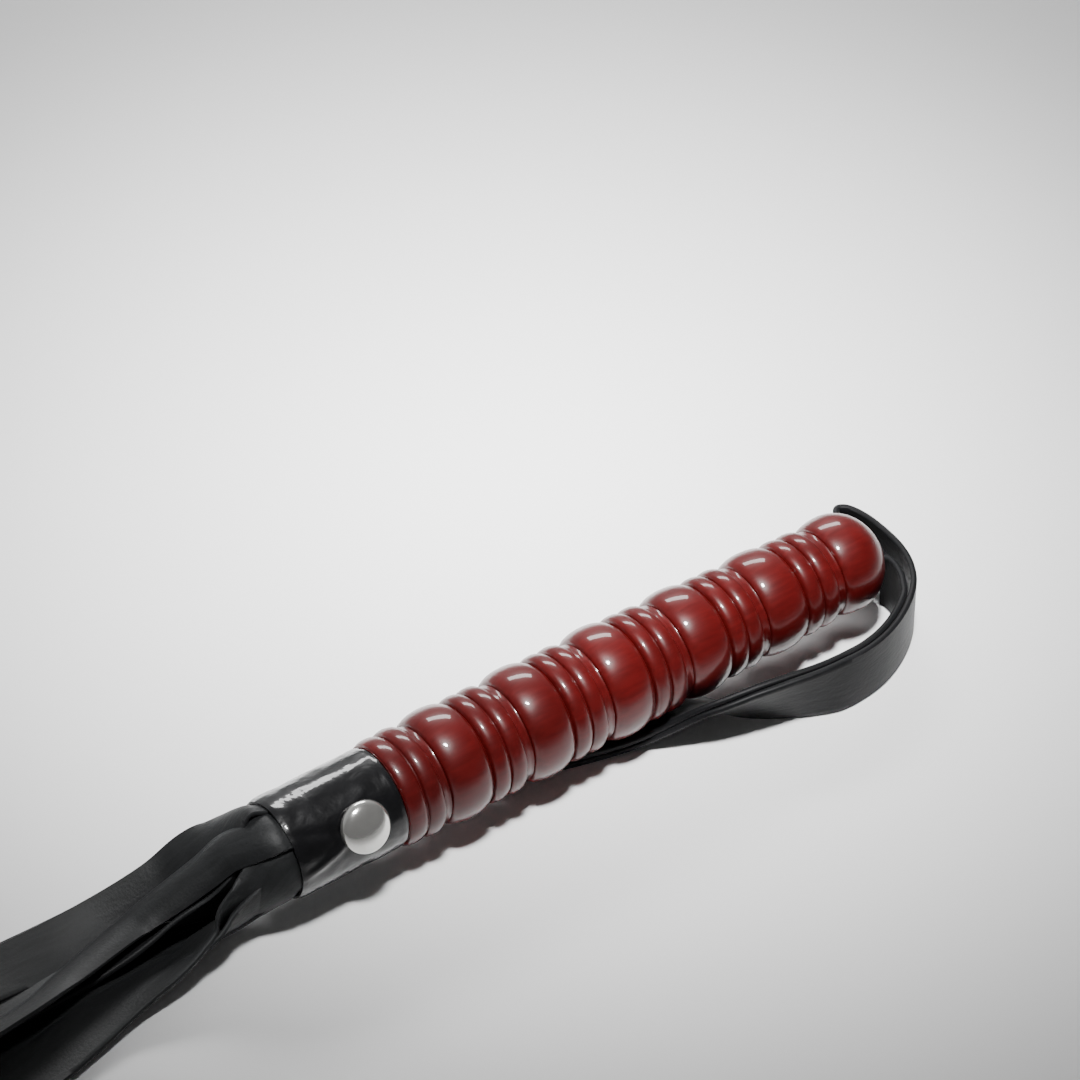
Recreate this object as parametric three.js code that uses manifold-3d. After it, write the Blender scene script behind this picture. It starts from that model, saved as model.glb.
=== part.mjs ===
// Short multi-tail riding whip: turned lacquered handle, riveted collar, flat falls, wrist strap.
// Millimetres, +Z up, resting on z = 0. Lengths along the handle are measured from the shoulder
// where the collar meets the first ring: +x towards the butt, -x towards the falls.
import * as THREE from "three";
import { mergeVertices } from "three/addons/utils/BufferGeometryUtils.js";
import Module from "manifold-3d";

const wasm = await Module();
wasm.setup();

// ---- driving dimensions -------------------------------------------------------------------
const GAP = 0.3;                    // clearance between pieces that touch
const BEAD_R = 14.0;                // largest radius of the turned handle
const RING_R = 13.45;
const GROOVE_R = 12.75;             // between rings
const COVE_R = 12.1;                // in front of each bead
const BEAD_COUNT = 6;
const MODULE = 23.0;                // one bead and two rings
const FIRST_COVE = 11.3;
const GRIP_LENGTH = 142.0;
const TAPER_START = 70.0;
const TAPER_RATE = 0.00195;         // radius lost per mm behind TAPER_START

const STRAP_THICK = 1.5;
const STRAP_WIDTH = 16.5;
const TONGUE_WIDTH = 5.6;           // the strap ends are cut down to tongues that enter the butt bore
const TONGUE_DROP = 1.2;            // the tongues' middle below the handle's axis
const AXIS_Z = BEAD_R + 2 * STRAP_THICK + 2 * GAP;

const COLLAR_LENGTH = 29.0;
const COLLAR_INNER_R = 11.4;
const COLLAR_THICK = 1.1;
const COLLAR_OVERLAP = 35;          // degrees of doubled sheet at the seam
const SEAM_ANGLE = -55;             // degrees above +y, on the far lower side

const SPIGOT_R = COLLAR_INNER_R - GAP;
const SPIGOT_LENGTH = 26.0;
const FALL_THICK = 1.3;
const FALL_PITCH = FALL_THICK + 0.35;
const FALL_WIDTH = 14.0;
const FALL_LENGTH = 300.0;          // free length beyond the collar mouth
const FALL_COUNT = 8;
const ROOT_LENGTH = 24.0;
const FALL_START = COLLAR_LENGTH + 3.6;

const STUD_HEAD_R = 6.25;
const STUD_HEAD_HEIGHT = 3.4;
const STUD_SHANK_R = 1.2;
const STUD_X = -11.2;
const STUD_ANGLE = 29.5;            // near stud's height above the horizontal, in degrees
const STUD_SEAT_R = 11.95;          // distance of the pressed-flat seat from the axis

const BORE_R = 5.0;
const BORE_DEPTH = 22.0;

// ---- geometry helpers ---------------------------------------------------------------------
function signedVolume(position, index) {
  const a = new THREE.Vector3();
  const b = new THREE.Vector3();
  const c = new THREE.Vector3();
  let sum = 0;
  for (let i = 0; i < index.length; i += 3) {
    a.fromBufferAttribute(position, index[i]);
    b.fromBufferAttribute(position, index[i + 1]);
    c.fromBufferAttribute(position, index[i + 2]);
    sum += a.dot(b.cross(c));
  }
  return sum / 6;
}

// Merge shared vertices, drop collapsed triangles and turn the faces outward.
function closed(geometry) {
  geometry.deleteAttribute("normal");
  geometry.deleteAttribute("uv");
  const merged = mergeVertices(geometry, 1e-4);
  const kept = [];
  const all = merged.index.array;
  for (let i = 0; i < all.length; i += 3) {
    const [a, b, c] = [all[i], all[i + 1], all[i + 2]];
    if (a !== b && b !== c && a !== c) {
      kept.push(a, b, c);
    }
  }
  if (signedVolume(merged.attributes.position, kept) < 0) {
    for (let i = 0; i < kept.length; i += 3) {
      [kept[i + 1], kept[i + 2]] = [kept[i + 2], kept[i + 1]];
    }
  }
  merged.setIndex(kept);
  return merged;
}

function toManifold(geometry) {
  const mesh = new wasm.Mesh({
    numProp: 3,
    vertProperties: new Float32Array(geometry.attributes.position.array),
    triVerts: new Uint32Array(geometry.index.array),
  });
  mesh.merge();
  return new wasm.Manifold(mesh);
}

function fromManifold(solid) {
  const mesh = solid.getMesh();
  const geometry = new THREE.BufferGeometry();
  geometry.setAttribute("position", new THREE.BufferAttribute(new Float32Array(mesh.vertProperties), 3));
  geometry.setIndex(Array.from(mesh.triVerts));
  return geometry;
}

function subtract(geometry, ...tools) {
  let solid = toManifold(geometry);
  for (const tool of tools) {
    solid = solid.subtract(toManifold(tool));
  }
  return fromManifold(solid);
}

// A solid of revolution about the x axis from [x, radius] points that start and end on the axis.
function turned(points, segments) {
  const profile = points.map(([x, r]) => new THREE.Vector2(r, x));
  const geometry = new THREE.LatheGeometry(profile, segments);
  geometry.rotateZ(-Math.PI / 2);
  return closed(geometry);
}

// Width direction and face normal of a strip at one of its stations.
function stationFrame(stations, i) {
  const before = stations[Math.max(i - 1, 0)].point;
  const after = stations[Math.min(i + 1, stations.length - 1)].point;
  const along = after.clone().sub(before).normalize();
  const { across } = stations[i];
  const side = across.clone().addScaledVector(along, -across.dot(along)).normalize();
  return { side, normal: along.cross(side) };
}

// A flat strip through stations of { point, across, width, shift }: across is the width direction,
// and shift moves the strip's middle off the path in that direction.
function ribbon(stations, thickness) {
  const positions = [];
  const index = [];
  stations.forEach(({ point, width, shift = 0 }, i) => {
    const { side, normal } = stationFrame(stations, i);
    for (const [u, v] of [[-1, -1], [1, -1], [1, 1], [-1, 1]]) {
      const corner = point.clone()
        .addScaledVector(side, shift + (u * width) / 2)
        .addScaledVector(normal, (v * thickness) / 2);
      positions.push(corner.x, corner.y, corner.z);
    }
    if (i > 0) {
      for (let k = 0; k < 4; k += 1) {
        const a = 4 * (i - 1) + k;
        const b = 4 * (i - 1) + ((k + 1) % 4);
        if (k === 2) {
          index.push(a, b, a + 4, b, b + 4, a + 4);   // same diagonal as the opposite face
        } else {
          index.push(a, b, b + 4, a, b + 4, a + 4);
        }
      }
    }
  });
  const last = 4 * (stations.length - 1);
  index.push(0, 2, 1, 0, 3, 2, last, last + 1, last + 2, last, last + 2, last + 3);
  const geometry = new THREE.BufferGeometry();
  geometry.setAttribute("position", new THREE.Float32BufferAttribute(positions, 3));
  geometry.setIndex(index);
  return closed(geometry);
}

const smooth = (t) => THREE.MathUtils.smoothstep(t, 0, 1);
const radians = THREE.MathUtils.degToRad;

// ---- materials ----------------------------------------------------------------------------
const lacquer = new THREE.MeshStandardMaterial({ color: 0x7a1512, roughness: 0.12, metalness: 0 });
const patent = new THREE.MeshStandardMaterial({ color: 0x0b0b0c, roughness: 0.12, metalness: 0 });
const leather = new THREE.MeshStandardMaterial({ color: 0x17181a, roughness: 0.5, metalness: 0 });
const chrome = new THREE.MeshStandardMaterial({ color: 0xd8d8d4, roughness: 0.08, metalness: 1 });
const bareWood = new THREE.MeshStandardMaterial({ color: 0xb08a5a, roughness: 0.7, metalness: 0 });

const whip = new THREE.Group();
const onAxis = new THREE.Group();   // pieces that share the handle's axis
onAxis.position.z = AXIS_Z;
whip.add(onAxis);

function add(parent, name, geometry, material) {
  const mesh = new THREE.Mesh(geometry, material);
  mesh.name = name;
  parent.add(mesh);
  return mesh;
}

// ---- turned handle ------------------------------------------------------------------------
const slimming = (x) => 1 - TAPER_RATE * Math.max(0, x - TAPER_START);

// Half-ellipse moulding from x0 to x1, standing on baseR and reaching topR.
function moulding(x0, x1, baseR, topR, steps) {
  const points = [];
  for (let i = 0; i <= steps; i += 1) {
    const angle = (Math.PI * i) / steps;
    const x = (x0 + x1) / 2 - ((x1 - x0) / 2) * Math.cos(angle);
    points.push([x, (baseR + (topR - baseR) * Math.sin(angle)) * slimming(x)]);
  }
  return points;
}

function handleProfile() {
  const points = [[-SPIGOT_LENGTH, 0], [-SPIGOT_LENGTH, SPIGOT_R], [0, SPIGOT_R]];
  points.push([0, RING_R - 1.2]);
  points.push(...moulding(0.2, 5.0, GROOVE_R, 13.2, 3));
  points.push(...moulding(5.4, 10.0, GROOVE_R, RING_R, 3));
  for (let i = 0; i < BEAD_COUNT - 1; i += 1) {
    const cove = FIRST_COVE + i * MODULE;
    points.push([cove, COVE_R * slimming(cove)]);
    points.push(...moulding(cove + 0.9, cove + 12.1, GROOVE_R - 0.3, BEAD_R, 6));
    points.push(...moulding(cove + 12.5, cove + 16.8, GROOVE_R, RING_R, 3));
    points.push(...moulding(cove + 17.2, cove + 21.5, GROOVE_R, RING_R, 3));
  }
  const lastCove = FIRST_COVE + (BEAD_COUNT - 1) * MODULE;
  points.push([lastCove, COVE_R * slimming(lastCove)]);
  points.push([lastCove + 0.9, (GROOVE_R - 0.3) * slimming(lastCove)]);
  const domeStart = lastCove + 6.0;
  const domeR = BEAD_R * slimming(domeStart);
  points.push([lastCove + 3.0, domeR * 0.985]);
  const domeSteps = 7;
  const flatAngle = Math.acos((BORE_R + 1.2) / domeR);
  for (let i = 0; i <= domeSteps; i += 1) {
    const angle = (flatAngle * i) / domeSteps;
    const reach = (GRIP_LENGTH - domeStart) / Math.sin(flatAngle);
    points.push([domeStart + reach * Math.sin(angle), domeR * Math.cos(angle)]);
  }
  points.push([GRIP_LENGTH, BORE_R], [GRIP_LENGTH - BORE_DEPTH, BORE_R], [GRIP_LENGTH - BORE_DEPTH, 0]);
  return points;
}

const stackHeight = (FALL_COUNT - 1) * FALL_PITCH + FALL_THICK;

// The blind mortise in the end of the spigot that holds the stacked roots of the falls.
function fallMortise() {
  const length = ROOT_LENGTH + 1;
  const mortise = new THREE.BoxGeometry(length, FALL_WIDTH + 2 * GAP, stackHeight + 2 * GAP);
  mortise.translate(-COLLAR_LENGTH + length / 2 - 0.5, 0, 0);
  return closed(mortise);
}

// A stud on the collar, drawn along +x and swung round the axis to the near side (side 1) or to
// the diametrically opposite place (side -1).
function studShape(radialPoints, side, segments) {
  const geometry = turned(radialPoints, segments);
  geometry.rotateZ(-Math.PI / 2 * side);
  geometry.rotateX(-radians(STUD_ANGLE));
  geometry.translate(STUD_X, 0, 0);
  return geometry;
}

const STUD_TIP_R = 9.0;

function studBody() {
  const points = [[STUD_TIP_R, 0], [STUD_TIP_R + 0.9, STUD_SHANK_R], [STUD_SEAT_R + GAP, STUD_SHANK_R]];
  const steps = 6;
  points.push([STUD_SEAT_R + GAP, STUD_HEAD_R], [STUD_SEAT_R + GAP + 0.5, STUD_HEAD_R]);
  for (let i = 1; i <= steps; i += 1) {
    const angle = (Math.PI / 2) * (i / steps);
    points.push([
      STUD_SEAT_R + GAP + 0.5 + (STUD_HEAD_HEIGHT - 0.5) * Math.sin(angle),
      i === steps ? 0 : STUD_HEAD_R * Math.cos(angle),
    ]);
  }
  return points;
}

function rod(from, to, radius) {
  return [[from, 0], [from, radius], [to, radius], [to, 0]];
}

const studHoles = [1, -1].map((side) => studShape(rod(STUD_TIP_R - GAP, 20, STUD_SHANK_R + GAP), side, 16));
const studSeats = [1, -1].map((side) => studShape(rod(STUD_SEAT_R, 20, STUD_HEAD_R + 0.5), side, 28));

add(onAxis, "turned_handle", subtract(turned(handleProfile(), 28), fallMortise(), ...studHoles), lacquer);
add(onAxis, "stud_front", studShape(studBody(), 1, 24), chrome);
add(onAxis, "stud_back", studShape(studBody(), -1, 24), chrome);

// ---- collar: one sheet wrapped round the spigot, its edge lapped over itself -----------------
function collarSheet() {
  const turns = 360 + COLLAR_OVERLAP;
  const steps = 44;
  const inner = [];
  const outer = [];
  for (let i = 0; i <= steps; i += 1) {
    const degrees = (turns * i) / steps;
    const lift = (COLLAR_THICK + GAP) * smooth((degrees - 315) / 42);
    const angle = radians(SEAM_ANGLE + degrees);
    const r = COLLAR_INNER_R + lift;
    inner.push(new THREE.Vector2(r * Math.cos(angle), r * Math.sin(angle)));
    outer.push(new THREE.Vector2((r + COLLAR_THICK) * Math.cos(angle), (r + COLLAR_THICK) * Math.sin(angle)));
  }
  const outline = new THREE.Shape([...outer, ...inner.reverse()]);
  const geometry = new THREE.ExtrudeGeometry(outline, { depth: COLLAR_LENGTH - GAP, bevelEnabled: false });
  // The outline's x and y become world y and z, and the extrusion runs along -x.
  geometry.applyMatrix4(new THREE.Matrix4().set(0, 0, -1, -GAP, 1, 0, 0, 0, 0, 1, 0, 0, 0, 0, 0, 1));
  return closed(geometry);
}

add(onAxis, "collar", subtract(collarSheet(), ...studSeats, ...studHoles), patent);

// ---- falls ----------------------------------------------------------------------------------
// Sideways places of the falls, lowest first: where they have settled, and at their tips.
const SETTLED_Y = [-2, 8, -7, 4, -5, -9, 14, 3];
const TIP_Y = [-9, 13, -25, 3, -18, -27, 27, 9];
const MOUTH_TO_GROUND = 52.0;
const across = new THREE.Vector3(0, 1, 0);

// Height of the lowest fall's middle: level at the mouth, then down to lie on the ground.
function fallHeight(distance) {
  const top = AXIS_Z - ((FALL_COUNT - 1) * FALL_PITCH) / 2;
  return top + (FALL_THICK / 2 - top) * smooth((distance - COLLAR_LENGTH) / MOUTH_TO_GROUND);
}

// Sideways place of a fall's middle: stacked at the mouth, settled by 60 mm out, then fanned.
function fallOffset(level, distance) {
  const settled = SETTLED_Y[level] * smooth((distance - COLLAR_LENGTH - 4) / 56);
  return settled + (TIP_Y[level] - SETTLED_Y[level]) * smooth((distance - 80) / 250);
}

for (let level = 0; level < FALL_COUNT; level += 1) {
  const lift = level * FALL_PITCH;
  const root = new THREE.BoxGeometry(ROOT_LENGTH, FALL_WIDTH, FALL_THICK);
  root.translate(-COLLAR_LENGTH + ROOT_LENGTH / 2, 0, fallHeight(0) + lift - AXIS_Z);
  add(onAxis, `fall_root_${level + 1}`, closed(root), leather);

  const steps = 34;
  const stations = [];
  for (let i = 0; i <= steps; i += 1) {
    const distance = FALL_START + (COLLAR_LENGTH + FALL_LENGTH - FALL_START) * (i / steps);
    stations.push({
      point: new THREE.Vector3(-distance, fallOffset(level, distance), fallHeight(distance) + lift),
      across,
      width: i === steps ? FALL_WIDTH * 0.35 : FALL_WIDTH,
    });
  }
  add(whip, `fall_${level + 1}`, ribbon(stations, FALL_THICK), leather);
}

// ---- wrist strap ----------------------------------------------------------------------------
// Outer run: out of the butt bore, back on itself behind the handle, round the end, then forward
// along the near side and flat under the handle. Rows are [x, y, lean in degrees], where lean tips
// the top edge away from the handle. The lower edge rests on the ground.
const PLY_PITCH = STRAP_THICK + GAP;
const outerRun = [
  [143.3, 1.8, 0], [144.3, 3.4, 0], [144.6, 6.0, 0], [144.4, 9.6, 0], [144.0, 13.0, 0], [144.3, 15.4, 0],
  [145.9, 16.6, 0], [148.0, 15.0, 0], [149.6, 10.0, 0], [150.1, 3.5, 0], [149.8, -2.5, 0],
  [148.3, -8.2, 0], [145.3, -13.6, 0], [141.5, -17.4, 0], [137.4, -20.4, 0], [132.8, -22.9, 0],
  [127.4, -24.9, 0], [121.2, -26.0, 0], [114.3, -26.0, 0], [107.6, -24.6, 7], [101.0, -22.3, 15],
  [93.8, -19.2, 26], [86.6, -15.0, 43], [79.4, -8.8, 66], [72.0, -3.4, 83], [64.0, 0.2, 90],
  [54.0, 2.8, 90], [44.0, 6.0, 90], [34.0, 10.0, 90], [26.0, 13.8, 90],
];
const innerBend = [
  [143.3, -1.8, 0], [144.4, -3.2, 0], [144.9, -5.4, 0], [144.6, -8.0, 0], [143.6, -11.0, 0], [142.0, -13.8, 0],
];
const INNER_JOINS_AT = 13;          // the inner run follows the outer one from this station on

// Height of the strap's middle when its lower edge rests on the ground at a given lean.
function restingHeight(lean) {
  return (STRAP_WIDTH / 2) * Math.cos(radians(lean)) + (STRAP_THICK / 2) * Math.sin(radians(lean)) + 0.1;
}

const up = new THREE.Vector3(0, 0, 1);

// Point and width direction for each row of a run; the width direction starts upright.
function strapStations(rows) {
  const points = rows.map(([x, y, lean]) => new THREE.Vector3(x, y, restingHeight(lean)));
  return rows.map(([, , lean], i) => {
    const along = points[Math.min(i + 1, rows.length - 1)].clone().sub(points[Math.max(i - 1, 0)]);
    const outward = up.clone().cross(along.setZ(0).normalize()).normalize();
    const angle = radians(lean);
    const widthDirection = up.clone().multiplyScalar(Math.cos(angle)).addScaledVector(outward, Math.sin(angle));
    return { point: points[i], across: widthDirection, width: STRAP_WIDTH };
  });
}

// Round the corners of a run of stations with Catmull-Rom curves.
function refined(stations, perSpan) {
  const curve = (key) => new THREE.CatmullRomCurve3(stations.map((s) => s[key]), false, "catmullrom", 0.5);
  const place = curve("point");
  const direction = curve("across");
  const spans = (stations.length - 1) * perSpan;
  const result = [];
  for (let i = 0; i <= spans; i += 1) {
    const t = i / spans;
    result.push({ point: place.getPoint(t), across: direction.getPoint(t).normalize(), width: STRAP_WIDTH });
  }
  return result;
}

function strapPlies() {
  const outer = refined(strapStations(outerRun), 2);
  const follow = [];
  for (let i = 2 * INNER_JOINS_AT; i < outer.length; i += 2) {
    const { normal } = stationFrame(outer, i);
    follow.push({ ...outer[i], point: outer[i].point.clone().addScaledVector(normal, PLY_PITCH) });
  }
  const plies = [outer, refined([...strapStations(innerBend), ...follow], 2)];
  const tongueRise = AXIS_Z - TONGUE_DROP - restingHeight(0);
  for (const ply of plies) {
    ply.forEach((station, i) => {
      const full = smooth(i - 1);     // tongue at stations 0 and 1, full width from 2 on
      station.width = THREE.MathUtils.lerp(TONGUE_WIDTH, STRAP_WIDTH, full);
      station.shift = THREE.MathUtils.lerp(tongueRise, 0, full);
    });
  }
  return plies;
}

// Both plies joined by the fold at the loop's far end.
function wristStrap() {
  const [outer, inner] = strapPlies();
  const tip = outer.at(-1);
  const along = tip.point.clone().sub(outer.at(-2).point).normalize();
  const middle = tip.point.clone().add(inner.at(-1).point).multiplyScalar(0.5);
  const fold = [45, 90, 135].map((degrees) => ({
    point: middle.clone()
      .addScaledVector(along, (PLY_PITCH / 2) * Math.sin(radians(degrees)))
      .addScaledVector(up, (PLY_PITCH / 2) * Math.cos(radians(degrees))),
    across: tip.across,
    width: STRAP_WIDTH,
  }));
  return ribbon([...inner, ...fold, ...outer.reverse()], STRAP_THICK);
}

add(whip, "wrist_strap", wristStrap(), leather);

// Inside the butt bore: the two strap tongues with a wooden wedge driven between them.
const END_LENGTH = 18.0;
for (const [name, side] of [["strap_end_near", -1], ["strap_end_far", 1]]) {
  const end = new THREE.BoxGeometry(END_LENGTH, STRAP_THICK, TONGUE_WIDTH);
  end.translate(GRIP_LENGTH + 0.2 - END_LENGTH / 2, side * (1.0 + STRAP_THICK / 2), -TONGUE_DROP);
  add(onAxis, name, closed(end), leather);
}
const wedge = new THREE.BoxGeometry(END_LENGTH - 2, 1.4, TONGUE_WIDTH);
wedge.translate(GRIP_LENGTH - 1.5 - END_LENGTH / 2, 0, 0);
add(onAxis, "strap_wedge", closed(wedge), bareWood);

// ---- origin: centre of the bounding box, on the ground -----------------------------------------
whip.updateMatrixWorld(true);
const bounds = new THREE.Box3().setFromObject(whip, true);
whip.position.set(-(bounds.min.x + bounds.max.x) / 2, -(bounds.min.y + bounds.max.y) / 2, -bounds.min.z);

export default whip;
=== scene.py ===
"""Looks of the short multi-tail riding whip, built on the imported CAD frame.

Lengths are in millimetres in the handle's own frame and become metres in the row frame through
at(): x = 0 is the shoulder between collar and first ring, +x runs to the butt, y = 0 is the
handle's axis, and z = 0 is the ground.
"""

import math

import bpy
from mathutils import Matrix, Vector, noise


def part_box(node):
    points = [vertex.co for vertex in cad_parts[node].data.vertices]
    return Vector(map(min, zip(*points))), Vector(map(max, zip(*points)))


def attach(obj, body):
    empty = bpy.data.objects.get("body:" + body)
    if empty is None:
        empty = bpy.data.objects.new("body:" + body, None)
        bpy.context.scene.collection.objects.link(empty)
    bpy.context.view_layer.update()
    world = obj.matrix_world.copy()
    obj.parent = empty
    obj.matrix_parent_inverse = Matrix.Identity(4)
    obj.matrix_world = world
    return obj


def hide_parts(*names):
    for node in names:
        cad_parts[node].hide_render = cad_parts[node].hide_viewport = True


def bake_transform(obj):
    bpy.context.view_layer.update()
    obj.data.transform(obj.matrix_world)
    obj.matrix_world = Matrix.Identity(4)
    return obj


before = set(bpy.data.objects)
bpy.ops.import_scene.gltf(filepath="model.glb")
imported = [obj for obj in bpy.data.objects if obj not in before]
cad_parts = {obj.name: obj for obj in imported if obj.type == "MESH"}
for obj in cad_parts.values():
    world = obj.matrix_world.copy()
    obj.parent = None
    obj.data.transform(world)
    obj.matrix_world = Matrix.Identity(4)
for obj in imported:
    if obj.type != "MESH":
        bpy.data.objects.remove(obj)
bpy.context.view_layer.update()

# ---- frame of the handle, taken from the CAD -----------------------------------------------------
GRIP_LENGTH = 142.0
handle_low, handle_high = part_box("turned_handle")
SHOULDER = handle_high.x - GRIP_LENGTH / 1000
AXIS_Y = (handle_low.y + handle_high.y) / 2
AXIS_HEIGHT = 1000 * (handle_low.z + handle_high.z) / 2


def at(x, y, z):
    """Row-frame point in metres of a point given in the handle's frame in millimetres."""
    return Vector((SHOULDER + x / 1000, AXIS_Y + y / 1000, z / 1000))


# ---- mesh helpers --------------------------------------------------------------------------------
def make_object(name, points, faces, material, uv=None):
    """A smooth-shaded mesh object from points in the handle's frame; uv gives one pair per point."""
    mesh = bpy.data.meshes.new(name)
    mesh.from_pydata([at(*p) for p in points], [], faces)
    mesh.update()
    if uv:
        layer = mesh.uv_layers.new(name="UVMap")
        for loop in mesh.loops:
            layer.data[loop.index].uv = uv[loop.vertex_index]
    for polygon in mesh.polygons:
        polygon.use_smooth = True
    obj = bpy.data.objects.new(name, mesh)
    bpy.context.scene.collection.objects.link(obj)
    obj.data.materials.append(material)
    return obj


def sharpen(obj, degrees):
    """Mark edges sharper than the angle, so smooth shading stops at real corners."""
    obj.data.set_sharp_from_angle(angle=math.radians(degrees))


def smoothstep(t):
    """0 below t = 0 and 1 above t = 1, with a smooth rise between."""
    t = min(max(t, 0.0), 1.0)
    return t * t * (3 - 2 * t)


def bump_shape(distance, radius):
    """1 at the middle, falling smoothly to 0 at the radius."""
    return 1 - smoothstep(distance / radius)


def catmull(values, t):
    """Catmull-Rom through a list of equal-length tuples, t from 0 to len - 1."""
    i = min(int(t), len(values) - 2)
    f = t - i
    p0 = values[max(i - 1, 0)]
    p1, p2 = values[i], values[i + 1]
    p3 = values[min(i + 2, len(values) - 1)]
    result = []
    for a, b, c, d in zip(p0, p1, p2, p3):
        square = 2 * a - 5 * b + 4 * c - d
        cube = 3 * b - a - 3 * c + d
        result.append(0.5 * (2 * b + (c - a) * f + square * f * f + cube * f**3))
    return result


# ---- materials -----------------------------------------------------------------------------------
class Nodes:
    """Short-hand for building one node material."""

    def __init__(self, name):
        self.material = bpy.data.materials.new(name)
        self.material.use_nodes = True
        self.tree = self.material.node_tree
        self.shader = self.tree.nodes["Principled BSDF"]

    def add(self, kind, inputs=None, **settings):
        node = self.tree.nodes.new(kind)
        for key, value in settings.items():
            setattr(node, key, value)
        for key, value in (inputs or {}).items():
            if isinstance(value, bpy.types.NodeSocket):
                self.tree.links.new(value, node.inputs[key])
            else:
                node.inputs[key].default_value = value
        return node

    def set(self, **values):
        """Set or link the shader's sockets; an underscore stands for a space in a socket's name."""
        for key, value in values.items():
            socket = self.shader.inputs[key.replace("_", " ")]
            if isinstance(value, bpy.types.NodeSocket):
                self.tree.links.new(value, socket)
            else:
                socket.default_value = value

    def coordinates(self, kind):
        return self.add("ShaderNodeTexCoord").outputs[kind]

    def stretched(self, vector, scale):
        return self.add("ShaderNodeMapping", {"Vector": vector, "Scale": scale}).outputs["Vector"]

    def noise(self, vector, scale, detail, **extra):
        inputs = {"Vector": vector, "Scale": scale, "Detail": detail, **extra}
        return self.add("ShaderNodeTexNoise", inputs).outputs["Fac"]

    def pebbles(self, vector, scale):
        node = self.add("ShaderNodeTexVoronoi", {"Vector": vector, "Scale": scale}, feature="SMOOTH_F1")
        return node.outputs["Distance"]

    def product(self, first, second):
        return self.add("ShaderNodeMath", {0: first, 1: second}, operation="MULTIPLY").outputs[0]

    def bump(self, height, strength, distance, **below):
        """Bumped normal; Normal=socket lays it over another bump."""
        inputs = {"Height": height, "Strength": strength, "Distance": distance, **below}
        return self.add("ShaderNodeBump", inputs).outputs["Normal"]

    def ramp(self, factor, *stops):
        """Color between (position, (r, g, b)) stops."""
        node = self.add("ShaderNodeValToRGB", {"Fac": factor})
        for element, (position, color) in zip(node.color_ramp.elements, stops):
            element.position = position
            element.color = (*color, 1.0)
        return node.outputs["Color"]

    def levels(self, factor, low, high):
        node = self.add("ShaderNodeMapRange", {"Value": factor, "To Min": low, "To Max": high})
        return node.outputs["Result"]


def lacquer_material():
    """Red-stained wood under a thick clear lacquer: fine long grain under the coat."""
    n = Nodes("red_lacquer")
    coords = n.coordinates("Object")
    grain = n.noise(n.stretched(coords, (60.0, 900.0, 900.0)), 1.0, 6.0, Roughness=0.6)
    cloud = n.noise(coords, 55.0, 3.0)
    orange_peel = n.noise(coords, 260.0, 1.0)
    n.set(
        Base_Color=n.ramp(
            n.product(grain, cloud), (0.1, (0.048, 0.0018, 0.0018)), (0.42, (0.088, 0.0036, 0.0036))
        ),
        Roughness=n.levels(grain, 0.3, 0.45),
        Specular_IOR_Level=0.2,
        Coat_Weight=0.5,
        Coat_Roughness=0.035,
        Coat_IOR=1.52,
        Coat_Normal=n.bump(orange_peel, 0.05, 0.0006),
    )
    return n.material


def patent_material():
    """Black patent: a glossy coat over leather that shows a little of its grain and creases."""
    n = Nodes("black_patent")
    coords = n.coordinates("Object")
    waves = n.noise(coords, 120.0, 3.0, Distortion=0.6)
    grain = n.bump(n.pebbles(coords, 1500.0), 0.05, 0.0002)
    relief = n.bump(waves, 0.4, 0.0009, Normal=grain)
    n.set(
        Base_Color=n.ramp(waves, (0.3, (0.003, 0.003, 0.0035)), (0.7, (0.006, 0.006, 0.007))),
        Roughness=n.levels(waves, 0.26, 0.4),
        Specular_IOR_Level=0.2,
        Coat_Weight=0.85,
        Coat_IOR=1.42,
        Coat_Roughness=0.07,
        Normal=relief,
        Coat_Normal=relief,
    )
    return n.material


def leather_material(name, dark, light, roughness, grain_strength, shine):
    """Black strap leather on UVs in millimetres: pebble grain, pores and long creases."""
    n = Nodes(name)
    uv = n.coordinates("UV")
    pores = n.noise(uv, 3.4, 4.0, Roughness=0.65)
    crease = n.noise(n.stretched(uv, (0.55, 0.09, 1.0)), 1.0, 3.0, Distortion=0.8)
    tone = n.product(crease, pores)
    pebbled = n.bump(n.pebbles(uv, 1.6), grain_strength, 0.00025)
    pored = n.bump(pores, grain_strength, 0.0002, Normal=pebbled)
    n.set(
        Base_Color=n.ramp(tone, (0.12, dark), (0.4, light)),
        Roughness=n.levels(tone, *roughness),
        Normal=n.bump(crease, 0.16, 0.0005, Normal=pored),
        Specular_IOR_Level=shine,
        Sheen_Weight=0.03,
        Sheen_Roughness=0.5,
    )
    return n.material


def chrome_material():
    """Polished plated dome with faint polishing haze."""
    n = Nodes("polished_chrome")
    haze = n.noise(n.coordinates("Object"), 420.0, 5.0, Roughness=0.7)
    n.set(
        Base_Color=n.ramp(haze, (0.3, (0.74, 0.73, 0.7)), (0.7, (0.86, 0.85, 0.82))),
        Metallic=0.9,
        Roughness=n.levels(haze, 0.1, 0.2),
        Normal=n.bump(haze, 0.04, 0.0004),
    )
    return n.material


def bare_wood_material():
    """Unfinished pale wood with long grain."""
    n = Nodes("bare_wood")
    grain = n.noise(n.stretched(n.coordinates("Object"), (90.0, 1400.0, 1400.0)), 1.0, 5.0)
    n.set(
        Base_Color=n.ramp(grain, (0.3, (0.36, 0.22, 0.11)), (0.7, (0.55, 0.38, 0.21))),
        Roughness=n.levels(grain, 0.6, 0.8),
        Normal=n.bump(grain, 0.3, 0.0003),
    )
    return n.material


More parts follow.
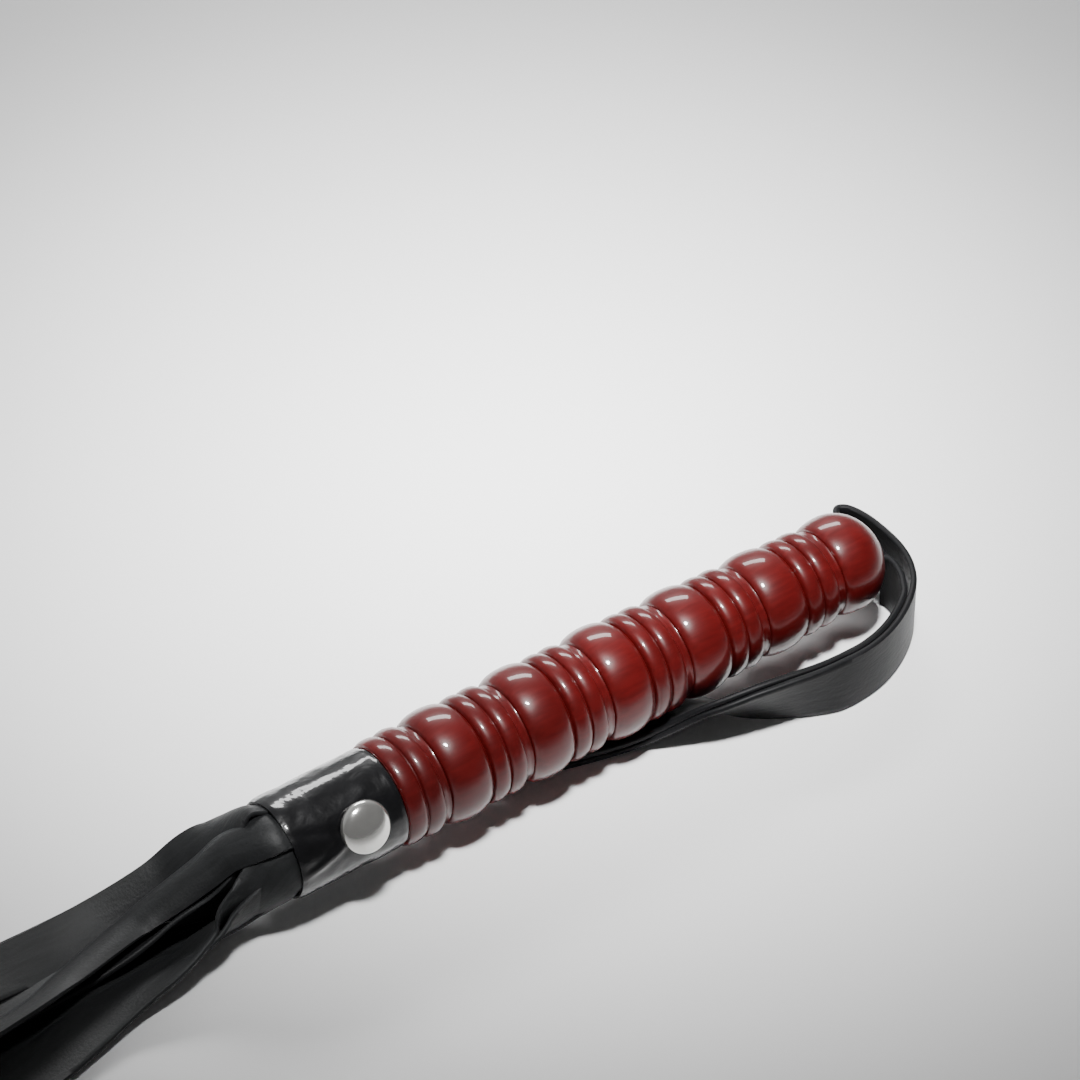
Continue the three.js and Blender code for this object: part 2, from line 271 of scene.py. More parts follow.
LACQUER = lacquer_material()
PATENT = patent_material()
FALL_LEATHER = leather_material(
    "fall_leather",
    dark=(0.007, 0.0075, 0.008),
    light=(0.014, 0.015, 0.016),
    roughness=(0.5, 0.62),
    grain_strength=0.16,
    shine=0.3,
)
STRAP_LEATHER = leather_material(
    "strap_leather",
    dark=(0.004, 0.004, 0.0045),
    light=(0.007, 0.007, 0.008),
    roughness=(0.42, 0.54),
    grain_strength=0.12,
    shine=0.12,
)
CHROME = chrome_material()
BARE_WOOD = bare_wood_material()

# ---- turned handle -------------------------------------------------------------------------------
BEAD_R = 14.0
RING_R = 13.45
BEAD_COUNT = 6
MODULE = 23.0
FIRST_COVE = 11.3
TAPER_START = 70.0
TAPER_RATE = 0.00195
BORE_R = 5.0
BORE_DEPTH = 22.0
SPIGOT_R = 11.1
SPIGOT_END = -26.0
MORTISE_BOTTOM = -4.0
MORTISE_FLARE_END = -14.0
MORTISE_HALF_WIDTH = 7.3
MORTISE_HALF_HEIGHT = 6.7
MORTISE_LIP = 0.4
LATHE_SEGMENTS = 144
# Mouldings as (start, end, base radius, top radius, fullness, steps) along the axis. The end rings
# count from the shoulder. The bead and the two rings after it count from the cove before them.
END_RINGS = [(0.15, 5.1, 12.2, 13.25, 2.1, 12), (5.35, 10.0, 12.3, RING_R, 2.1, 12)]
BEAD_AND_RINGS = [
    (0.8, 12.15, 11.7, BEAD_R, 2.05, 28),
    (12.45, 16.85, 12.2, RING_R, 2.1, 12),
    (17.1, 21.5, 12.2, RING_R, 2.1, 12),
]
COVE = [(-0.5, 12.15), (0.0, 11.95), (0.5, 12.1)]
SHOULDER_R = 12.2
BUTT_BEAD_START = 0.8
BUTT_BEAD_RISE = 5.6
BUTT_BEAD_BASE_R = 11.9
BUTT_BEAD_FULLNESS = 2.1
BUTT_RIM_R = BORE_R + 1.2
BORE_ROUNDING = (0.4, 0.3)


def slimming(x):
    """How much thinner the grip is towards its butt, as a factor on every radius."""
    return 1 - TAPER_RATE * max(0.0, x - TAPER_START)


def rise(u, fullness):
    """Height of a rounded moulding, 1 at u = 0 and 0 at u = 1; an ellipse for fullness 2."""
    return (1 - abs(u) ** fullness) ** (1 / fullness)


def moulding(x0, x1, base, top, fullness, steps):
    """Profile points of a rounded moulding from x0 to x1."""
    points = []
    for i in range(steps + 1):
        u = -math.cos(math.pi * i / steps)
        x = (x0 + x1) / 2 + (x1 - x0) / 2 * u
        points.append((x, (base + (top - base) * rise(u, fullness)) * slimming(x)))
    return points


def butt_bead(cove):
    """The last bead after its cove: its far side is a dome that ends at the rim of the bore."""
    start = cove + BUTT_BEAD_START
    middle = start + BUTT_BEAD_RISE
    crown = BEAD_R * slimming(middle)
    base = BUTT_BEAD_BASE_R * slimming(start)
    points = []
    for i in range(12):
        u = math.cos(math.pi / 2 * i / 12)
        points.append((middle - (middle - start) * u, base + (crown - base) * rise(u, BUTT_BEAD_FULLNESS)))
    end_angle = math.acos(BUTT_RIM_R / crown)
    reach = (GRIP_LENGTH - middle) / math.sin(end_angle)
    for i in range(25):
        angle = end_angle * i / 24
        points.append((middle + reach * math.sin(angle), crown * math.cos(angle)))
    return points


def grip_profile():
    """(x, radius) points from the shoulder along the outside to the butt and down its bore."""
    points = [(0.0, SPIGOT_R), (0.0, SHOULDER_R)]
    for ring in END_RINGS:
        points += moulding(*ring)
    for i in range(BEAD_COUNT):
        cove = FIRST_COVE + i * MODULE
        points += [(cove + offset, radius * slimming(cove)) for offset, radius in COVE]
        if i == BEAD_COUNT - 1:
            points += butt_bead(cove)
            break
        for start, end, *shape in BEAD_AND_RINGS:
            points += moulding(cove + start, cove + end, *shape)
    across, along = BORE_ROUNDING
    bore_bottom = GRIP_LENGTH - BORE_DEPTH
    points += [(GRIP_LENGTH, BORE_R + across), (GRIP_LENGTH - along, BORE_R)]
    points += [(bore_bottom, BORE_R), (bore_bottom, 0.0)]
    return points


def lathe(points, faces, profile, segments, place):
    """Append a surface of revolution, placed by place(height, radius, angle).

    A row of radius 0 is one point.
    """
    rows = []
    for height, radius in profile:
        count = segments if radius else 1
        first_index = len(points)
        points += [place(height, radius, 2 * math.pi * k / segments) for k in range(count)]
        rows.append(range(first_index, first_index + count))
    for low, high in zip(rows, rows[1:]):
        for k in range(segments):
            m = (k + 1) % segments
            if len(low) == 1:
                faces.append((low[0], high[m], high[k]))
            elif len(high) == 1:
                faces.append((low[k], low[m], high[0]))
            else:
                faces.append((low[k], low[m], high[m], high[k]))


def about_axis(x, radius, angle):
    """Point at a radius and angle about the handle's axis."""
    return (x, radius * math.cos(angle), AXIS_HEIGHT + radius * math.sin(angle))


def spigot(points, faces):
    """The spigot under the collar; its mortise for the falls flares out to the open end."""

    def ring(x, shape):
        first_index = len(points)
        for k in range(LATHE_SEGMENTS):
            angle = 2 * math.pi * k / LATHE_SEGMENTS
            points.append(about_axis(x, shape(math.cos(angle), math.sin(angle)), angle))
        return range(first_index, first_index + LATHE_SEGMENTS)

    def opening(flare):
        """Radius of the mortise: a rectangle for flare 0, nearly the spigot's circle for flare 1."""

        def shape(c, s):
            flat = min(MORTISE_HALF_WIDTH / max(abs(c), 1e-6), MORTISE_HALF_HEIGHT / max(abs(s), 1e-6))
            return flat + (SPIGOT_R - MORTISE_LIP - flat) * flare

        return shape

    outer = [ring(x, lambda c, s: SPIGOT_R) for x in (SPIGOT_END, MORTISE_BOTTOM, 0.0)]
    mortise = [(SPIGOT_END, 1.0), (MORTISE_FLARE_END, 0.0), (MORTISE_BOTTOM, 0.0)]
    inner = [ring(x, opening(flare)) for x, flare in mortise]
    bottom_middle = len(points)
    points.append((MORTISE_BOTTOM, 0.0, AXIS_HEIGHT))
    for k in range(LATHE_SEGMENTS):
        m = (k + 1) % LATHE_SEGMENTS
        for first, second in zip(outer, outer[1:]):
            faces.append((first[k], first[m], second[m], second[k]))
        for first, second in zip(inner, inner[1:]):
            faces.append((first[m], first[k], second[k], second[m]))
        faces.append((outer[0][m], outer[0][k], inner[0][k], inner[0][m]))
        faces.append((inner[-1][m], inner[-1][k], bottom_middle))


def build_handle():
    points, faces = [], []
    lathe(points, faces, grip_profile(), LATHE_SEGMENTS, about_axis)
    spigot(points, faces)
    obj = make_object("handle", points, faces, LACQUER)
    sharpen(obj, 42)
    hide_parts("turned_handle")
    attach(obj, "handle")


build_handle()

# ---- collar --------------------------------------------------------------------------------------
COLLAR_LENGTH = 29.0
COLLAR_GAP = 0.35
COLLAR_INNER_R = 11.4
COLLAR_THICK = 1.1
COLLAR_OVERLAP = 35.0
COLLAR_EDGE_THIN = 0.45
LAP_START = 315
LAP_RAMP = 42
LAP_GAP = 0.3
SEAM_ANGLE = -55.0
WRAP_R = 12.5
STUD_X = -11.2
STUD_ANGLE = 29.5
STUD_DIMPLE_DEPTH = 0.55
STUD_DIMPLE_R = 9.5
# Two pulls run from the near stud towards the mouth, a ridge and a valley that draw apart.
FOLD_HEIGHT = 0.5
FOLD_SPREAD = 0.32
RIDGE_WIDTH = 1.1
VALLEY_WIDTH = 1.4
VALLEY_SHARE = 0.8
MOUTH_TUCK = 0.15
MOUTH_TUCK_LENGTH = 3.0
AROUND_STEPS = 220
ALONG_STEPS = 60


def collar_radius(degrees, x):
    """Radius of the collar's middle surface; degrees is measured along the wrap from its inner end."""
    r = COLLAR_INNER_R + COLLAR_THICK / 2
    r += (COLLAR_THICK + LAP_GAP) * smoothstep((degrees - LAP_START) / LAP_RAMP)
    for stud_angle in (180 - STUD_ANGLE, -STUD_ANGLE):
        across = math.radians(SEAM_ANGLE + degrees - stud_angle) * WRAP_R
        r -= STUD_DIMPLE_DEPTH * bump_shape(math.hypot(across, x - STUD_X), STUD_DIMPLE_R)
    return r


def collar_relief(degrees, x):
    """Pulls, folds and the soft mouth edge that the wrapped sheet shows."""
    angle = SEAM_ANGLE + degrees
    across = math.radians(angle - (180 - STUD_ANGLE)) * WRAP_R
    beyond = STUD_X - x
    relief = 0.0
    if beyond > 0:
        spread = FOLD_SPREAD * beyond
        ridge = math.exp(-(((across - spread) / RIDGE_WIDTH) ** 2))
        valley = math.exp(-(((across + spread) / VALLEY_WIDTH) ** 2))
        fade = smoothstep(beyond / 7) * (1 - smoothstep((beyond - 13) / 8))
        relief += FOLD_HEIGHT * (ridge - VALLEY_SHARE * valley) * fade
    relief += 0.2 * noise.noise(Vector((x / 7, math.radians(angle) * 2.2, 3.1)))
    relief += 0.1 * noise.noise(Vector((x / 3, math.radians(angle) * 6.0, 8.4)))
    relief -= MOUTH_TUCK * smoothstep((MOUTH_TUCK_LENGTH - COLLAR_LENGTH - x) / MOUTH_TUCK_LENGTH)
    return relief


def collar_sheet(points, side):
    """Rows of point numbers over the outer (side 1) or inner (side -1) face of the wrapped sheet."""
    grid = []
    for i in range(AROUND_STEPS + 1):
        degrees = (360 + COLLAR_OVERLAP) * i / AROUND_STEPS
        row = []
        for j in range(ALONG_STEPS + 1):
            x = -COLLAR_GAP - (COLLAR_LENGTH - COLLAR_GAP) * j / ALONG_STEPS
            edge = min(j, ALONG_STEPS - j, i * 2, (AROUND_STEPS - i) * 2)
            half = COLLAR_THICK / 2 * (1 - COLLAR_EDGE_THIN * (1 - min(edge, 2) / 2))
            r = collar_radius(degrees, x) + collar_relief(degrees, x) + side * half
            row.append(len(points))
            points.append(about_axis(x, r, math.radians(SEAM_ANGLE + degrees)))
        grid.append(row)
    return grid


def build_collar():
    points, faces = [], []
    outer = collar_sheet(points, 1)
    inner = collar_sheet(points, -1)
    around, along = AROUND_STEPS, ALONG_STEPS
    for i in range(around):
        for j in range(along):
            faces.append((outer[i][j], outer[i][j + 1], outer[i + 1][j + 1], outer[i + 1][j]))
            faces.append((inner[i][j + 1], inner[i][j], inner[i + 1][j], inner[i + 1][j + 1]))
        faces.append((outer[i][0], outer[i + 1][0], inner[i + 1][0], inner[i][0]))
        faces.append((outer[i + 1][along], outer[i][along], inner[i][along], inner[i + 1][along]))
    for j in range(along):
        faces.append((outer[0][j + 1], outer[0][j], inner[0][j], inner[0][j + 1]))
        faces.append((outer[around][j], outer[around][j + 1], inner[around][j + 1], inner[around][j]))
    obj = make_object("collar_wrap", points, faces, PATENT)
    sharpen(obj, 60)
    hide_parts("collar")
    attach(obj, "handle")


build_collar()

# ---- studs ---------------------------------------------------------------------------------------
STUD_R = 6.25
STUD_SEAT_R = 11.95
STUD_STEM_R = 1.2
STUD_STEM_FOOT = 9.0
DOME_HEIGHT = 2.9
DOME_STEPS = 24
STUD_SEGMENTS = 64


def stud_profile():
    """(height, radius) points from the foot of the stem, under the flange and over the dome."""
    base = STUD_SEAT_R + 0.3
    profile = [(STUD_STEM_FOOT, 0.0), (STUD_STEM_FOOT + 0.9, STUD_STEM_R), (base, STUD_STEM_R)]
    profile += [(base, STUD_R - 0.25), (base + 0.15, STUD_R), (base + 0.45, STUD_R)]
    for i in range(1, DOME_STEPS):
        angle = math.pi / 2 * i / DOME_STEPS
        profile.append((base + 0.5 + DOME_HEIGHT * math.sin(angle), STUD_R * math.cos(angle) ** 0.92))
    profile.append((base + 0.5 + DOME_HEIGHT, 0.0))
    return profile


def build_stud(name, cad_node, side):
    """Domed stud; side 1 is on the near side (-y) and side -1 is diametrically opposite."""
    elevation = math.radians(STUD_ANGLE)
    outward = Vector((0.0, -math.cos(elevation), math.sin(elevation))) * side
    first = Vector((1.0, 0.0, 0.0))
    second = outward.cross(first)
    centre = Vector((STUD_X, 0.0, AXIS_HEIGHT))

    def about_stud(height, radius, angle):
        around = first * (radius * math.cos(angle)) + second * (radius * math.sin(angle))
        return centre + outward * height + around

    points, faces = [], []
    lathe(points, faces, stud_profile(), STUD_SEGMENTS, about_stud)
    obj = make_object(name, points, faces, CHROME)
    sharpen(obj, 50)
    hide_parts(cad_node)
    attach(obj, "handle")


build_stud("dome_stud_near", "stud_front", 1)
build_stud("dome_stud_far", "stud_back", -1)


# ---- flat straps ---------------------------------------------------------------------------------
EDGE_EASE = 0.3


def strap_section(width, thickness, curl=0.0, shift=0.0):
    """Outline across a strap with eased edges, bent by curl radians and moved sideways by shift."""
    ease = EDGE_EASE
    half = width / 2
    top = [(-half, 0.0), (-half + ease * 0.3, thickness / 2 - ease), (-half + ease, thickness / 2)]
    for k in range(1, 12):
        top.append((-half + ease + (width - 2 * ease) * k / 12, thickness / 2))
    top += [(half - ease, thickness / 2), (half - ease * 0.3, thickness / 2 - ease)]
    outline = top + [(-u, -v) for u, v in top]
    if abs(curl) < 0.01:
        return [(u + shift, v) for u, v in outline]
    radius = width / curl
    bent = []
    for u, v in outline:
        angle = u / radius
        bent.append(((radius + v) * math.sin(angle) + shift, (radius + v) * math.cos(angle) - radius))
    return bent


def sweep(stations, thickness):
    """Mesh data and length of a strap through (point, width direction, width, curl, shift) stations."""
    points, faces, uv = [], [], []
    run = 0.0
    for i, (point, across, width, curl, shift) in enumerate(stations):
        before = stations[max(i - 1, 0)][0]
        after = stations[min(i + 1, len(stations) - 1)][0]
        along = (after - before).normalized()
        side = (across - along * across.dot(along)).normalized()
        normal = along.cross(side)
        if i:
            run += (point - stations[i - 1][0]).length
        outline = strap_section(width, thickness, curl, shift)
        flat = strap_section(width, thickness)
        count = len(outline)
        for (u, v), (flat_u, _) in zip(outline, flat):
            points.append(tuple(point + side * u + normal * v))
            uv.append((flat_u, run))
        if i:
            for k in range(count):
                m = (k + 1) % count
                a, b = count * (i - 1) + k, count * (i - 1) + m
                faces.append((b, a, a + count, b + count))
    faces.append(tuple(range(count)))
    last = count * (len(stations) - 1)
    faces.append(tuple(reversed(range(last, last + count))))
    return points, faces, uv, run


# ---- falls ---------------------------------------------------------------------------------------
FALL_THICK = 1.3
FALL_WIDTH = 14.0
FALL_STEPS = 330
TIP_TAPER = 0.62
FALL_DRIFT = 1.4
FALL_TWIST = 3.0
FALL_BOW = 0.09
# Each fall as (x, y, z, roll, curl) rows from the mortise to its tip, for the middle of its width.
# roll turns the width direction from +y towards +z, in degrees, and curl is how far the width is
# bent, in radians. At the mouth the falls overlap like shingles around the inside of the collar.
FALL_ROUTES = [
    [
        (-5, 0, 11.8, 180, 0), (-15, 0, 11.6, 180, 0.2), (-25, -4.4, 9.5, 152, 1.2),
        (-29, -4.4, 8.4, 146, 1.4), (-36, -2.0, 6.0, 164, 1.0), (-44, 2.0, 2.6, 173, 0.5),
        (-54, 3.6, 0.9, 178, 0.1), (-66, 2.6, 0.95, 180, 0), (-84, -1.0, 0.95, 180, 0),
        (-105, -5.0, 0.95, 180, 0), (-160, -6, 0.95, 180, 0), (-240, -8, 0.95, 180, 0),
        (-329, -9, 0.95, 180, 0),
    ],
    [
        (-5, 0, 13.5, 180, 0), (-15, 0, 13.2, 180, 0.2), (-25, 3.2, 9.6, 188, 1.2),
        (-29, 3.6, 8.0, 192, 1.4), (-36, 5.6, 5.6, 190, 1.0), (-46, 8.6, 2.2, 185, 0.5),
        (-58, 11.0, 1.0, 180, 0.1), (-70, 11.6, 0.95, 180, 0), (-105, 10.6, 0.95, 180, 0),
        (-160, 11, 0.95, 180, 0), (-240, 12, 0.95, 180, 0), (-329, 14, 0.95, 180, 0),
    ],
    [
        (-5, 0, 15.1, -180, 0), (-15, 1, 15.0, -165, 0.3), (-25, 7.6, 14.2, -128, 1.2),
        (-29, 9.4, 13.4, -123, 1.4), (-36, 10.6, 11.0, -130, 1.1), (-48, 13.0, 6.0, -152, 0.6),
        (-62, 15.8, 2.9, -172, 0.2), (-80, 17.0, 2.2, -180, 0), (-110, 18.5, 2.0, -180, 0),
        (-160, 21, 1.2, -180, 0), (-240, 25, 0.95, -180, 0), (-329, 30, 0.95, -180, 0),
    ],
    [
        (-5, 0, 16.8, 180, 0), (-15, -0.4, 17.0, 150, 0), (-25, -1.6, 17.6, 100, 0.1),
        (-29, -2.0, 18.0, 92, 0.2), (-37, -1.4, 14.0, 100, 0.3), (-46, 0.0, 8.4, 110, 0.3),
        (-58, 4.2, 5.4, 140, 0.2), (-70, 5.2, 3.8, 156, 0.1), (-82, 6.2, 3.0, 168, 0),
        (-105, 7.0, 2.3, 180, 0), (-160, 6, 2.1, 180, 0), (-240, 4, 1.2, 180, 0),
        (-329, 3, 0.95, 180, 0),
    ],
    [
        (-5, 0, 18.4, 180, 0), (-15, -1.5, 18.0, 150, 0.3), (-25, -7.6, 16.0, 104, 1.2),
        (-29, -9.4, 14.6, 100, 1.3), (-36, -8.0, 11.6, 106, 0.9), (-44, -6.4, 8.0, 118, 0.4),
        (-52, -5.6, 5.8, 140, 0.1), (-58, -2.0, 3.4, 158, 0), (-66, 0.4, 2.3, 172, 0),
        (-78, 0.6, 2.2, 180, 0), (-105, -1.0, 2.2, 180, 0), (-160, -10, 2.1, 180, 0),
        (-240, -16, 1.6, 180, 0), (-329, -19, 0.95, 180, 0),
    ],
    [
        (-5, 0, 20.1, 0, 0), (-15, -1.6, 20.2, 20, 0.3), (-25, -6.8, 21.8, 48, 1.2),
        (-29, -8.8, 22.6, 53, 1.4), (-34, -9.2, 20.2, 62, 1.45), (-40, -7.8, 13.8, 94, 0.8),
        (-47, -4.8, 9.0, 127, 0.15), (-54, -5.4, 6.6, 141, 0), (-62, -6.4, 5.0, 153, 0),
        (-70, -6.5, 3.7, 164, 0), (-78, -7.4, 2.9, 173, 0), (-88, -9.9, 2.4, 178, 0),
        (-105, -13.5, 2.2, 180, 0), (-160, -21, 1.2, 180, 0), (-240, -27, 0.95, 180, 0),
        (-329, -31, 0.95, 180, 0),
    ],
    [
        (-5, 0, 21.7, 0, 0), (-15, 1.4, 21.6, -16, 0.3), (-25, 6.0, 23.6, -46, 1.2),
        (-29, 7.5, 25.0, -50, 1.35), (-33, 8.6, 25.2, -42, 1.2), (-40, 8.2, 20.6, -6, 0.9),
        (-46, 9.8, 15.6, 20, 0.6), (-53, 11.0, 10.0, 34, 0.4), (-65, 12.8, 5.8, 31, 0.3),
        (-76, 13.8, 4.4, 20, 0.2), (-88, 14.8, 3.8, 10, 0.1), (-105, 15.6, 3.4, 3, 0),
        (-160, 19, 2.4, 0, 0), (-240, 22, 1.4, 0, 0), (-329, 22, 0.95, 0, 0),
    ],
    [
        (-5, 0, 23.4, 0, 0), (-15, -0.3, 23.6, 2, 0.3), (-25, -1.6, 26.2, 4, 1.2),
        (-29, -1.9, 28.0, 4, 1.4), (-33, -1.2, 27.6, 0, 1.6), (-40, 3.0, 23.6, -10, 2.1),
        (-46, 4.7, 19.3, -16, 2.3), (-53, 6.3, 15.0, -20, 2.2), (-60, 7.6, 11.2, -25, 2.0),
        (-67, 7.4, 8.9, -32, 1.8), (-83, 4.2, 7.4, -38, 1.5), (-98, 0.6, 7.2, -45, 1.0),
        (-125, 0.4, 6.4, -22, 0.5), (-160, 2, 4.2, 0, 0.1), (-240, 6, 2.2, 0, 0),
        (-329, 9, 0.95, 0, 0),
    ],
]


def fall_stations(route, seed):
    """Stations for sweep() along a route, with a little drift, twist and bow so that no two match."""
    stations = []
    last_row = len(route) - 1
    for i in range(FALL_STEPS + 1):
        x, y, z, roll, curl = catmull(route, last_row * i / FALL_STEPS)
        drift = noise.noise(Vector((x / 34, seed * 7.3, 0.5))) * smoothstep((-x - 95) / 60)
        bow = FALL_BOW * noise.noise(Vector((x / 40, seed * 3.1, 4.0)))
        angle = math.radians(roll + FALL_TWIST * drift)
        across = Vector((0.0, math.cos(angle), math.sin(angle)))
        from_tip = (i / FALL_STEPS - 1) * last_row
        width = FALL_WIDTH * (1 - TIP_TAPER * smoothstep(1 + from_tip * 12))
        stations.append((Vector((x, y + FALL_DRIFT * drift, z)), across, width, -curl - bow, 0.0))
    return stations


def build_fall(number, route):
    points, faces, uv, _ = sweep(fall_stations(route, number), FALL_THICK)
    fall = make_object(f"fall_strip_{number}", points, faces, FALL_LEATHER, uv)
    sharpen(fall, 55)
    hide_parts(f"fall_{number}", f"fall_root_{number}")
    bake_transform(fall)


for number, route in enumerate(FALL_ROUTES, 1):
    build_fall(number, route)

# ---- wrist strap ---------------------------------------------------------------------------------
STRAP_THICK = 1.5
STRAP_WIDTH = 16.5
TONGUE_WIDTH = 5.6
TONGUE_DROP = 1.2
PLY_PITCH = STRAP_THICK + 0.3
TONGUE_LENGTH = 18.0
TONGUE_OFFSET = 1.75
TONGUE_PAST_BUTT = 0.4
# (x, y, lean) rows, the same route as the CAD solid. lean is in degrees from upright, and the lower
# edge rests on the ground.
OUTER_RUN = [
    (143.3, 1.8, 0), (144.3, 3.4, 0), (144.6, 6.0, 0), (144.4, 9.6, 0), (144.0, 13.0, 0),
    (144.3, 15.4, 0), (145.9, 16.6, 0), (148.0, 15.0, 0), (149.6, 10.0, 0), (150.1, 3.5, 0),
    (149.8, -2.5, 0), (148.3, -8.2, 0), (145.3, -13.6, 0), (141.5, -17.4, 0), (137.4, -20.4, 0),
    (132.8, -22.9, 0), (127.4, -24.9, 0), (121.2, -26.0, 0), (114.3, -26.0, 0), (107.6, -24.6, 7),
    (101.0, -22.3, 15), (93.8, -19.2, 26), (86.6, -15.0, 43), (79.4, -8.8, 66), (72.0, -3.4, 83),
    (64.0, 0.2, 90), (54.0, 2.8, 90), (44.0, 6.0, 90), (34.0, 10.0, 90), (26.0, 13.8, 90),
]
INNER_BEND = [
    (143.3, -1.8, 0), (144.4, -3.2, 0), (144.9, -5.4, 0), (144.6, -8.0, 0), (143.6, -11.0, 0),
    (142.0, -13.8, 0),
]
INNER_JOINS_AT = 13
STEPS_PER_ROW = 10
NECK_STATIONS = 6
UP = Vector((0.0, 0.0, 1.0))


def resting_height(lean):
    """Height of the strap's middle line when its lower edge lies on the ground."""
    a = math.radians(lean)
    return STRAP_WIDTH / 2 * math.cos(a) + STRAP_THICK / 2 * math.sin(a) + 0.1


TONGUE_RISE = AXIS_HEIGHT - TONGUE_DROP - resting_height(0)


def strap_rows(rows):
    """(x, y, z, width direction) tuples of a run."""
    places = [Vector((x, y, resting_height(lean))) for x, y, lean in rows]
    result = []
    for i, (_, _, lean) in enumerate(rows):
        along = places[min(i + 1, len(rows) - 1)] - places[max(i - 1, 0)]
        along.z = 0
        outward = UP.cross(along.normalized()).normalized()
        a = math.radians(lean)
        across = UP * math.cos(a) + outward * math.sin(a)
        result.append((*places[i], *across))
    return result


def refine(rows):
    """Smooth (point, width direction) run through the rows."""
    count = (len(rows) - 1) * STEPS_PER_ROW
    result = []
    for i in range(count + 1):
        values = catmull(rows, i / STEPS_PER_ROW)
        result.append((Vector(values[:3]), Vector(values[3:]).normalized()))
    return result


def strap_normal(run, i):
    """Direction out of the strap's face at a point of a run."""
    along = (run[min(i + 1, len(run) - 1)][0] - run[max(i - 1, 0)][0]).normalized()
    across = run[i][1]
    side = (across - along * across.dot(along)).normalized()
    return along.cross(side)


def with_tongue(run):
    """Stations of a run that widens from the narrow tongue at the bore to the full strap."""
    stations = []
    for i, (point, across) in enumerate(run):
        full = smoothstep((i / STEPS_PER_ROW - 0.35) / 0.75)
        width = TONGUE_WIDTH + (STRAP_WIDTH - TONGUE_WIDTH) * full
        stations.append((point, across, width, 0.0, TONGUE_RISE * (1 - full)))
    return stations


def tongue_in_bore(side):
    """Straight stations inside the butt bore; side -1 is the near ply and side 1 the far one."""
    stations = []
    for k in range(12):
        x = GRIP_LENGTH - TONGUE_LENGTH + (TONGUE_LENGTH + TONGUE_PAST_BUTT) * k / 11
        place = Vector((x, side * TONGUE_OFFSET, resting_height(0)))
        stations.append((place, UP, TONGUE_WIDTH, 0.0, TONGUE_RISE))
    return stations


def tip_fold(outer, inner):
    """Stations of the half turn that joins the two plies at the far tip."""
    tip_point, tip_across = outer[-1][0], outer[-1][1]
    along = (tip_point - outer[-2][0]).normalized()
    middle = (tip_point + inner[-1][0]) / 2
    stations = []
    for degrees in range(15, 180, 15):
        a = math.radians(degrees)
        place = middle + along * (PLY_PITCH / 2 * math.sin(a)) + UP * (PLY_PITCH / 2 * math.cos(a))
        stations.append((place, tip_across, STRAP_WIDTH, 0.0, 0.0))
    return stations


def strap_piece(name, stations, cad_node):
    """A part of the strap that stands for one CAD node, and its length in millimetres."""
    points, faces, uv, length = sweep(stations, STRAP_THICK)
    piece = make_object(name, points, faces, STRAP_LEATHER, uv)
    sharpen(piece, 55)
    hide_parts(cad_node)
    return piece, length


def build_wrist_strap():
    outer = refine(strap_rows(OUTER_RUN))
    second_ply = []
    for i in range(STEPS_PER_ROW * INNER_JOINS_AT, len(outer), STEPS_PER_ROW):
        second_ply.append((*(outer[i][0] + strap_normal(outer, i) * PLY_PITCH), *outer[i][1]))
    inner = refine(strap_rows(INNER_BEND) + second_ply)
    outer, inner = with_tongue(outer), with_tongue(inner)

    for name, cad_node, side, run in (
        ("strap_neck_near", "strap_end_near", -1, inner),
        ("strap_neck_far", "strap_end_far", 1, outer),
    ):
        neck, _ = strap_piece(name, tongue_in_bore(side) + run[: NECK_STATIONS + 1], cad_node)
        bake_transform(neck)

    loop = inner[NECK_STATIONS:] + tip_fold(outer, inner) + outer[: NECK_STATIONS - 1 : -1]
    band, length = strap_piece("wrist_strap_band", loop, "wrist_strap")
    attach(band, "wrist_loop")


build_wrist_strap()

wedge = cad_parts["strap_wedge"]
wedge.data.materials.clear()
wedge.data.materials.append(BARE_WOOD)

# ---- floor, light and camera ---------------------------------------------------------------------
FLOOR_HALF = 6.0
LIGHT_TARGET = at(60, 0, 15)
POOL_CENTRE = at(102, 86, 0)
CAMERA_PLACE = at(-428.7, -663.9, 828.5 + AXIS_HEIGHT)
CAMERA_DOWN = 43.45
CAMERA_TURN = -35.51


def build_floor():
    material = Nodes("pale_floor")
    material.set(Base_Color=(0.86, 0.86, 0.86, 1.0), Roughness=0.8)
    corners = [(x * FLOOR_HALF, y * FLOOR_HALF, 0) for x, y in ((-1, -1), (1, -1), (1, 1), (-1, 1))]
    mesh = bpy.data.meshes.new("floor")
    mesh.from_pydata(corners, [], [(0, 1, 2, 3)])
    floor = bpy.data.objects.new("floor", mesh)
    floor.data.materials.append(material.material)
    bpy.context.scene.collection.objects.link(floor)


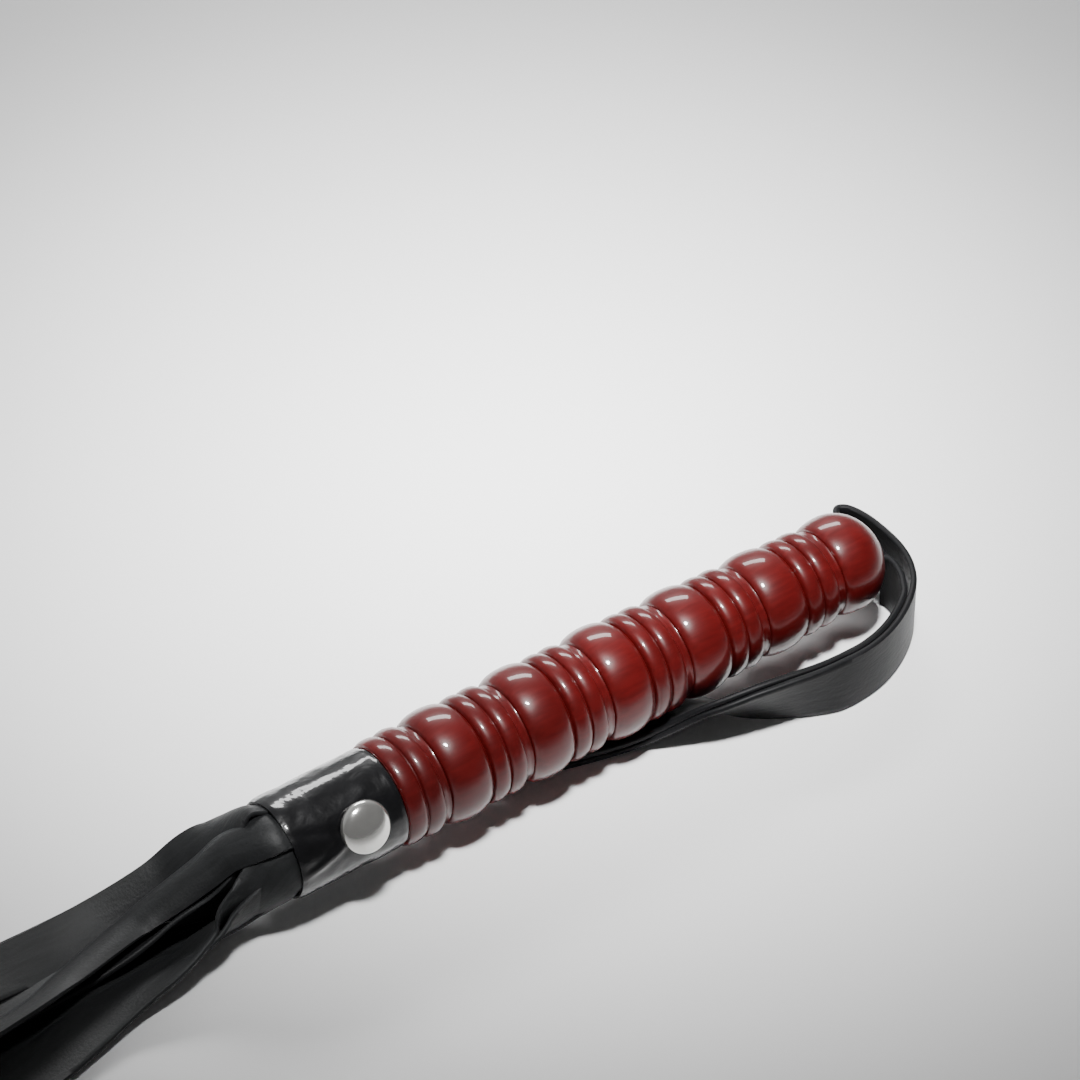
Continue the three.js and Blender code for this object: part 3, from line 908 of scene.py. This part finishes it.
def build_room():
    """Grey room, brighter behind the object (+y) than in front of it."""
    world = bpy.data.worlds.new("studio")
    world.use_nodes = True
    tree = world.node_tree
    direction = tree.nodes.new("ShaderNodeTexCoord")
    split = tree.nodes.new("ShaderNodeSeparateXYZ")
    remap = tree.nodes.new("ShaderNodeMapRange")
    remap.inputs["From Min"].default_value = -1.0
    room = tree.nodes.new("ShaderNodeValToRGB")
    front, back = room.color_ramp.elements
    front.position = 0.45
    front.color = (0.085, 0.085, 0.085, 1)
    back.position = 0.95
    back.color = (0.42, 0.425, 0.43, 1)
    tree.links.new(direction.outputs["Generated"], split.inputs[0])
    tree.links.new(split.outputs["Y"], remap.inputs["Value"])
    tree.links.new(remap.outputs["Result"], room.inputs["Fac"])
    tree.links.new(room.outputs["Color"], tree.nodes["Background"].inputs["Color"])
    tree.nodes["Background"].inputs["Strength"].default_value = 1.0
    bpy.context.scene.world = world


def light(name, kind, direction, distance, target, power, **settings):
    """A light in a direction from LIGHT_TARGET, aimed at its own target."""
    data = bpy.data.lights.new(name, kind)
    data.energy = power
    for key, value in settings.items():
        setattr(data, key, value)
    obj = bpy.data.objects.new(name, data)
    obj.location = LIGHT_TARGET + Vector(direction).normalized() * distance
    obj.rotation_euler = (target - obj.location).to_track_quat("-Z", "Y").to_euler()
    bpy.context.scene.collection.objects.link(obj)


def build_camera():
    data = bpy.data.cameras.new("camera")
    data.sensor_width = 36.0
    data.lens = 166.67
    data.clip_end = 20
    camera = bpy.data.objects.new("camera", data)
    camera.location = CAMERA_PLACE
    camera.rotation_euler = (math.radians(90 - CAMERA_DOWN), 0.0, math.radians(CAMERA_TURN))
    bpy.context.scene.collection.objects.link(camera)
    bpy.context.scene.camera = camera


build_floor()
build_room()
light(
    "softbox_back",
    "AREA",
    direction=(0.36, 0.74, 0.56),
    distance=1.3,
    target=LIGHT_TARGET,
    power=11,
    shape="RECTANGLE",
    size=0.7,
    size_y=0.24,
)
light(
    "spot_overhead",
    "SPOT",
    direction=(-0.08, -0.13, 0.99),
    distance=1.25,
    target=POOL_CENTRE,
    power=365,
    spot_size=math.radians(15),
    spot_blend=1.0,
    shadow_soft_size=0.12,
)
build_camera()
